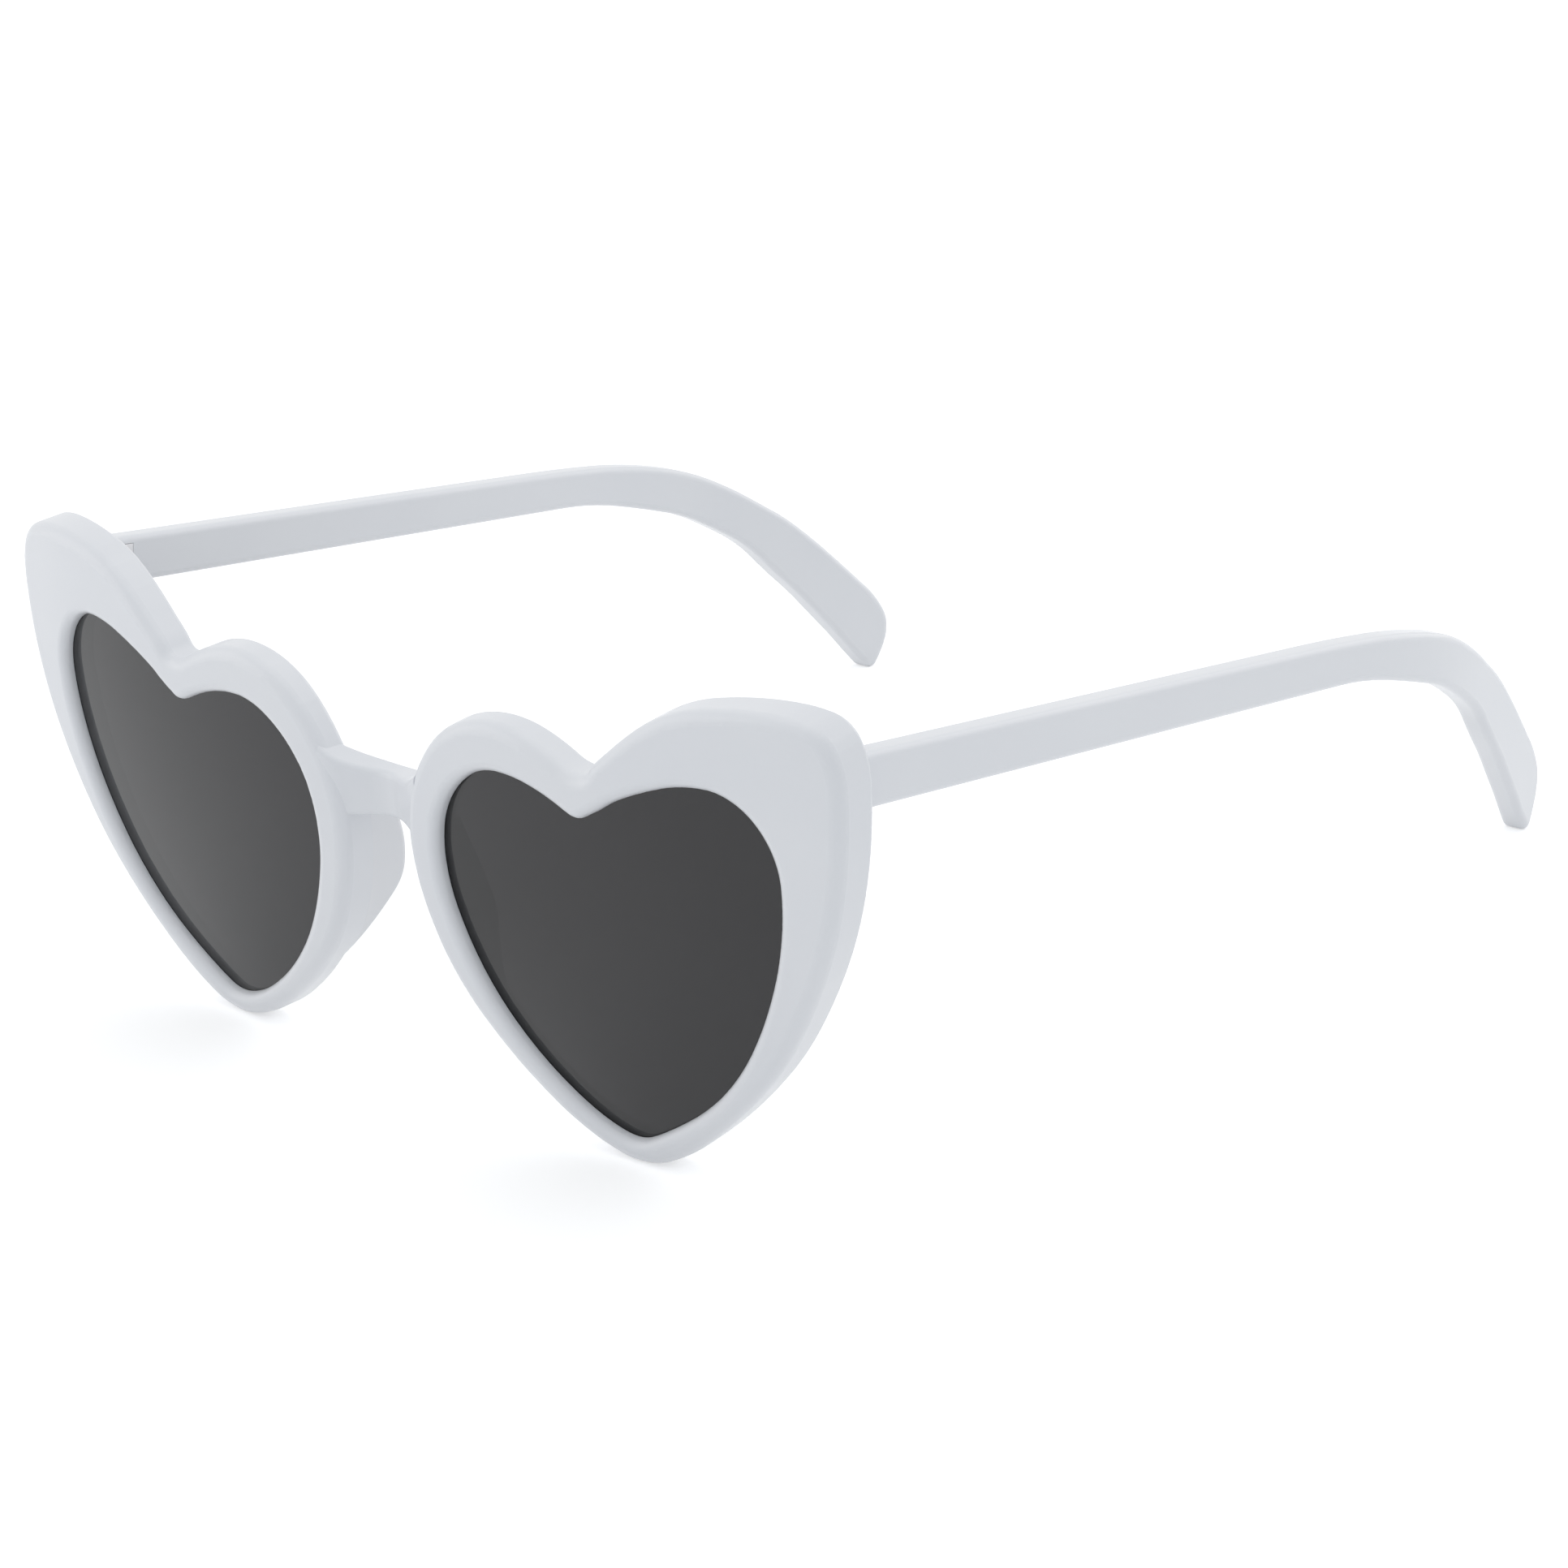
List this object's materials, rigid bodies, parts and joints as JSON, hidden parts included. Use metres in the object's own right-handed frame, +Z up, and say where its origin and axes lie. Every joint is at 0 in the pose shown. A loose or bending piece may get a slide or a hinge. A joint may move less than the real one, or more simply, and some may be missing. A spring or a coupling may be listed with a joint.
{
  "type": "sunglasses",
  "caption": "Heart shaped sunglasses: a white moulded front with dark domed lenses, a set back bridge, nose pads and temples that fold on screw hinges",
  "frame": {"origin": "on the ground under the middle of the part, on the plane of symmetry", "axes": "+X runs to the wearer's left, +Y runs back from the lenses to the temple tips, +Z is up; the part stands on its rim tips and temple tips with the temples open"},
  "size_m": [0.1402, 0.1478, 0.059],
  "materials": {
    "frame_plastic": "glossy soft white moulded plastic",
    "lens_tint": "dark neutral tint, smooth",
    "hinge_metal": "fine satin steel"
  },
  "bodies": {
    "front": {"front_frame": "frame_plastic", "lens_left": "lens_tint", "lens_right": "lens_tint", "nose_pad_left": "frame_plastic", "nose_pad_right": "frame_plastic", "front_hinge_left": "hinge_metal", "front_hinge_right": "hinge_metal", "hinge_screw_left": "hinge_metal", "hinge_screw_right": "hinge_metal", "front_leaf_screws_left": "hinge_metal", "front_leaf_screws_right": "hinge_metal"},
    "temple_left": {"temple_left": "frame_plastic", "temple_hinge_left": "hinge_metal", "temple_leaf_screws_left": "hinge_metal"},
    "temple_right": {"temple_right": "frame_plastic", "temple_hinge_right": "hinge_metal", "temple_leaf_screws_right": "hinge_metal"}
  },
  "joints": [
    {"name": "fold_left", "type": "hinge", "parent": "front", "child": "temple_left", "pos_m": [0.0646, -0.05916, 0.05042], "axis": [0, 0.1429, 0.9897], "range_deg": [0, 87]},
    {"name": "fold_right", "type": "hinge", "parent": "front", "child": "temple_right", "pos_m": [-0.0646, -0.05916, 0.05042], "axis": [0, 0.1429, 0.9897], "range_deg": [-67, 0]}
  ]
}
